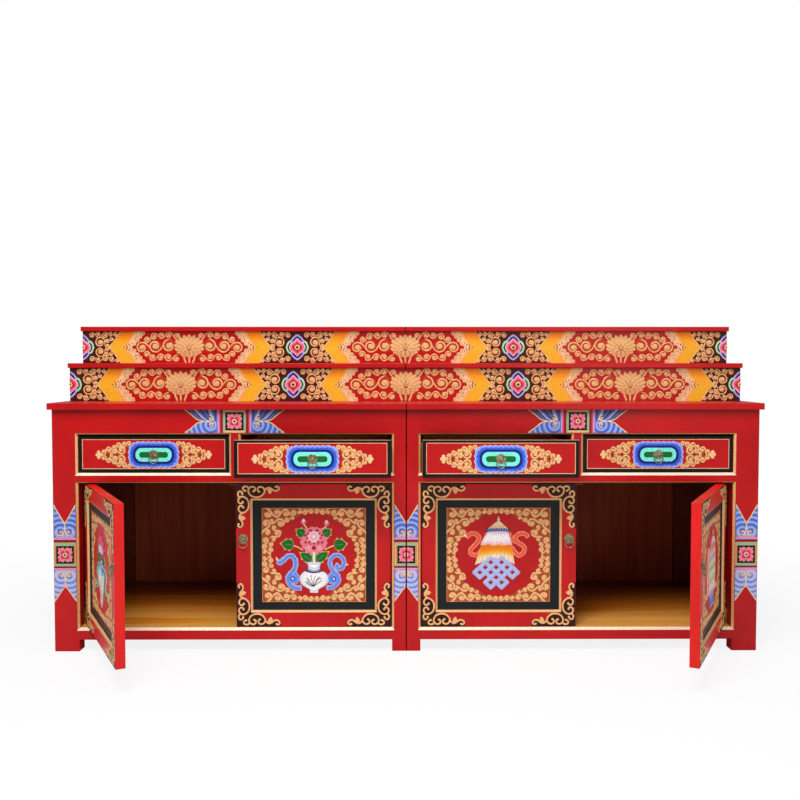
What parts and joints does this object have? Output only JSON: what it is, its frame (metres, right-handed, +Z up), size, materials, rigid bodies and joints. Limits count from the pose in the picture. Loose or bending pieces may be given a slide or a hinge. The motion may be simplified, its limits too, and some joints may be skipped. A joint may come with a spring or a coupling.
{
  "type": "tibetan altar table",
  "caption": "Low painted altar cabinet in two joined halves, with drawers over framed pivot doors and two raised steps on top for offerings.",
  "frame": {"origin": "on the floor, at the front of the seam between the two cabinets, at the feet's front edge", "axes": "+X along the table to the right, +Y from the front to the back, +Z up"},
  "size_m": [2, 0.9086, 0.924],
  "materials": {
    "red_lacquer": "glossy red painted wood",
    "painted_riser": "red and dark painted wood with gilded ornament",
    "painted_door_panel": "painted panel with a dark band and gilded ornament",
    "painted_drawer_front": "painted front with a black band and gilded ornament",
    "brown_inside": "dark brown varnish",
    "varnished_floor": "golden varnished pine",
    "plain_frame_wood": "brown stained pine",
    "plain_drawer_wood": "plain varnished pine",
    "aged_brass": "aged, rubbed on the high spots",
    "gilt_line": "raised gold paint line on wood",
    "coloured_paint": "raised satin paint in bright colours"
  },
  "bodies": {
    "cabinets": {"back_panels": "brown_inside", "door_stops": "plain_frame_wood", "drawer_dividers": "red_lacquer", "drawer_runners": "plain_frame_wood", "floor_boards": "varnished_floor", "left_bottom_rail": "red_lacquer", "left_drawer_rail": "red_lacquer", "left_frieze_rail": "red_lacquer", "left_inner_front_post": "red_lacquer", "left_lower_step_board": "red_lacquer", "left_lower_step_box": "painted_riser", "left_outer_front_post": "red_lacquer", "left_top_board": "red_lacquer", "left_upper_step_board": "red_lacquer", "left_upper_step_box": "painted_riser", "rear_frames": "plain_frame_wood", "right_bottom_rail": "red_lacquer", "right_drawer_rail": "red_lacquer", "right_frieze_rail": "red_lacquer", "right_inner_front_post": "red_lacquer", "right_lower_step_board": "red_lacquer", "right_lower_step_box": "painted_riser", "right_outer_front_post": "red_lacquer", "right_top_board": "red_lacquer", "right_upper_step_board": "red_lacquer", "right_upper_step_box": "painted_riser", "side_panels": "red_lacquer", "side_rails": "red_lacquer"},
    "door_1": {"door_1_frame": "red_lacquer", "door_1_panel": "painted_door_panel", "door_1_pull_plate": "aged_brass"},
    "door_2": {"door_2_frame": "red_lacquer", "door_2_panel": "painted_door_panel", "door_2_pull_plate": "aged_brass"},
    "door_3": {"door_3_frame": "red_lacquer", "door_3_panel": "painted_door_panel", "door_3_pull_plate": "aged_brass"},
    "door_4": {"door_4_frame": "red_lacquer", "door_4_panel": "painted_door_panel", "door_4_pull_plate": "aged_brass"},
    "door_1_ring": {"door_1_pull_ring": "aged_brass"},
    "door_2_ring": {"door_2_pull_ring": "aged_brass"},
    "door_3_ring": {"door_3_pull_ring": "aged_brass"},
    "door_4_ring": {"door_4_pull_ring": "aged_brass"},
    "drawer_1": {"drawer_1_front": "painted_drawer_front", "drawer_1_box": "plain_drawer_wood", "drawer_1_pull_plate": "aged_brass"},
    "drawer_2": {"drawer_2_front": "painted_drawer_front", "drawer_2_box": "plain_drawer_wood", "drawer_2_pull_plate": "aged_brass"},
    "drawer_3": {"drawer_3_front": "painted_drawer_front", "drawer_3_box": "plain_drawer_wood", "drawer_3_pull_plate": "aged_brass"},
    "drawer_4": {"drawer_4_front": "painted_drawer_front", "drawer_4_box": "plain_drawer_wood", "drawer_4_pull_plate": "aged_brass"},
    "drawer_1_ring": {"drawer_1_pull_ring": "aged_brass"},
    "drawer_2_ring": {"drawer_2_pull_ring": "aged_brass"},
    "drawer_3_ring": {"drawer_3_pull_ring": "aged_brass"},
    "drawer_4_ring": {"drawer_4_pull_ring": "aged_brass"}
  },
  "joints": [
    {"name": "door_1_hinge", "type": "hinge", "parent": "cabinets", "child": "door_1", "pos_m": [-0.8909, 0.019, 0.27], "axis": [0, 0, -1], "range_deg": [-62, 63]},
    {"name": "door_2_hinge", "type": "hinge", "parent": "cabinets", "child": "door_2", "pos_m": [-0.0691, 0.019, 0.27], "axis": [0, 0, 1], "range_deg": [0, 90]},
    {"name": "door_3_hinge", "type": "hinge", "parent": "cabinets", "child": "door_3", "pos_m": [0.0691, 0.019, 0.27], "axis": [0, 0, -1], "range_deg": [0, 90]},
    {"name": "door_4_hinge", "type": "hinge", "parent": "cabinets", "child": "door_4", "pos_m": [0.8909, 0.019, 0.27], "axis": [0, 0, 1], "range_deg": [-62, 63]},
    {"name": "door_1_ring_swing", "type": "hinge", "parent": "door_1", "child": "door_1_ring", "pos_m": [-0.7236, -0.3342, 0.317], "axis": [-0.4695, 0.8829, 0], "range_deg": [0, 170]},
    {"name": "door_2_ring_swing", "type": "hinge", "parent": "door_2", "child": "door_2_ring", "pos_m": [-0.4595, 0.0009, 0.317], "axis": [-1, 0, 0], "range_deg": [0, 170]},
    {"name": "door_3_ring_swing", "type": "hinge", "parent": "door_3", "child": "door_3_ring", "pos_m": [0.4595, 0.0009, 0.317], "axis": [-1, 0, 0], "range_deg": [0, 170]},
    {"name": "door_4_ring_swing", "type": "hinge", "parent": "door_4", "child": "door_4_ring", "pos_m": [0.7236, -0.3342, 0.317], "axis": [-0.4695, -0.8829, 0], "range_deg": [0, 170]},
    {"name": "drawer_1_slide", "type": "slide", "parent": "cabinets", "child": "drawer_1", "axis": [0, -1, 0], "range_m": [0, 0.3]},
    {"name": "drawer_2_slide", "type": "slide", "parent": "cabinets", "child": "drawer_2", "axis": [0, -1, 0], "range_m": [-0.119, 0.181]},
    {"name": "drawer_3_slide", "type": "slide", "parent": "cabinets", "child": "drawer_3", "axis": [0, -1, 0], "range_m": [-0.119, 0.181]},
    {"name": "drawer_4_slide", "type": "slide", "parent": "cabinets", "child": "drawer_4", "axis": [0, -1, 0], "range_m": [0, 0.3]},
    {"name": "drawer_1_ring_swing", "type": "hinge", "parent": "drawer_1", "child": "drawer_1_ring", "pos_m": [-0.708, 0.0009, 0.555], "axis": [-1, 0, 0], "range_deg": [0, 170]},
    {"name": "drawer_2_ring_swing", "type": "hinge", "parent": "drawer_2", "child": "drawer_2_ring", "pos_m": [-0.252, -0.1181, 0.555], "axis": [-1, 0, 0], "range_deg": [0, 170]},
    {"name": "drawer_3_ring_swing", "type": "hinge", "parent": "drawer_3", "child": "drawer_3_ring", "pos_m": [0.252, -0.1181, 0.555], "axis": [-1, 0, 0], "range_deg": [0, 170]},
    {"name": "drawer_4_ring_swing", "type": "hinge", "parent": "drawer_4", "child": "drawer_4_ring", "pos_m": [0.708, 0.0009, 0.555], "axis": [-1, 0, 0], "range_deg": [0, 170]}
  ]
}
